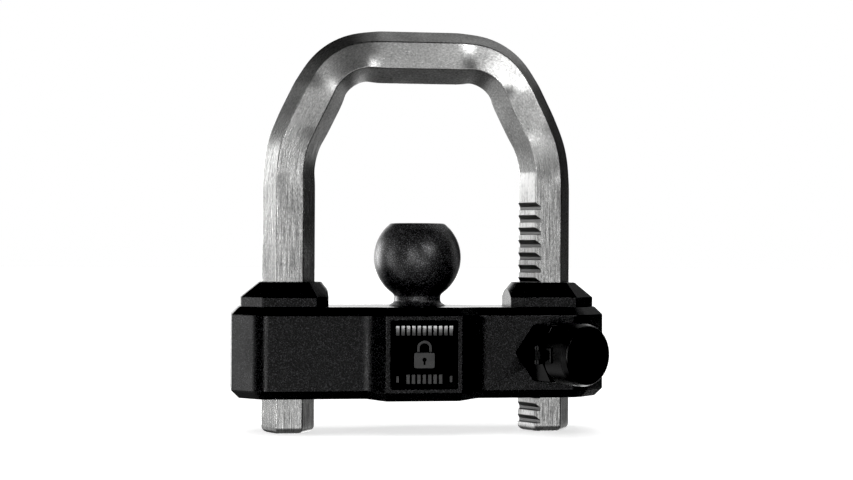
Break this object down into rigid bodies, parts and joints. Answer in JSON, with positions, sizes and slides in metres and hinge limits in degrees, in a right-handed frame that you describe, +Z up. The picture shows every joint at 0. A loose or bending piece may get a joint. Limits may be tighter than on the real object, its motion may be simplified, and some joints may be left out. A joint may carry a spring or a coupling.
{
  "type": "trailer coupler lock",
  "caption": "Universal trailer coupler lock: hexagonal steel shackle with a notched leg through a black body with a coupler ball and a capped key lock.",
  "frame": {"origin": "on the plane of the shackle's ends, under the centre of the whole object's box; the ball's axis is 13.8 mm behind it", "axes": "+Z up along the legs, +X from the plain leg to the notched leg, -Y out of the front with the badge and the key lock"},
  "size_m": [0.203, 0.0899, 0.2185],
  "materials": {
    "shackle_steel": "satin, rolled and zinc coated",
    "powder_coat": "fine-textured black powder coat",
    "ball_coat": "black powder coat",
    "satin_black": "smooth satin black",
    "gloss_black": "gloss",
    "zinc": "zinc plated",
    "brass": "machined",
    "hard_steel": "hardened, oiled",
    "rubber": "matte",
    "foam": "matte adhesive foam"
  },
  "bodies": {
    "body": {"lock_body": "powder_coat", "coupler_ball": "ball_coat", "ball_bolt": "zinc", "ball_washer": "zinc", "badge_plate": "gloss_black", "badge_adhesive": "foam", "lock_housing": "satin_black", "housing_seal": "rubber", "lock_cylinder": "zinc", "cylinder_clip": "hard_steel", "cap_hinge_pin": "zinc", "pawl_spring": "hard_steel"},
    "shackle": {"shackle": "shackle_steel"},
    "plug": {"key_plug": "brass", "plug_cam": "hard_steel", "wafer_1": "brass", "wafer_2": "brass", "wafer_3": "brass", "wafer_4": "brass", "wafer_5": "brass"},
    "pawl": {"pawl": "hard_steel"},
    "cap": {"dust_cap": "satin_black", "cap_seal": "rubber"}
  },
  "joints": [
    {"name": "shackle_slide", "type": "slide", "parent": "body", "child": "shackle", "axis": [0, 0, 1], "range_m": [-0.04802, 0.08918]},
    {"name": "lock_turn", "type": "hinge", "parent": "body", "child": "plug", "pos_m": [0.0695, -0.0122, 0.044], "axis": [0.5, -0.866, 0], "range_deg": [0, 90]},
    {"name": "pawl_slide", "type": "slide", "parent": "body", "child": "pawl", "axis": [0.866, 0.5, 0], "range_m": [0, 0.0029], "deforming": ["pawl_spring"]},
    {"name": "cap_flip", "type": "hinge", "parent": "body", "child": "cap", "pos_m": [0.05835, -0.03088, 0.044], "axis": [0, 0, -1], "range_deg": [0, 120]}
  ],
  "couplings": [
    {"joint": "lock_turn", "follows": "pawl_slide", "rad_per_m": 541.65}
  ]
}
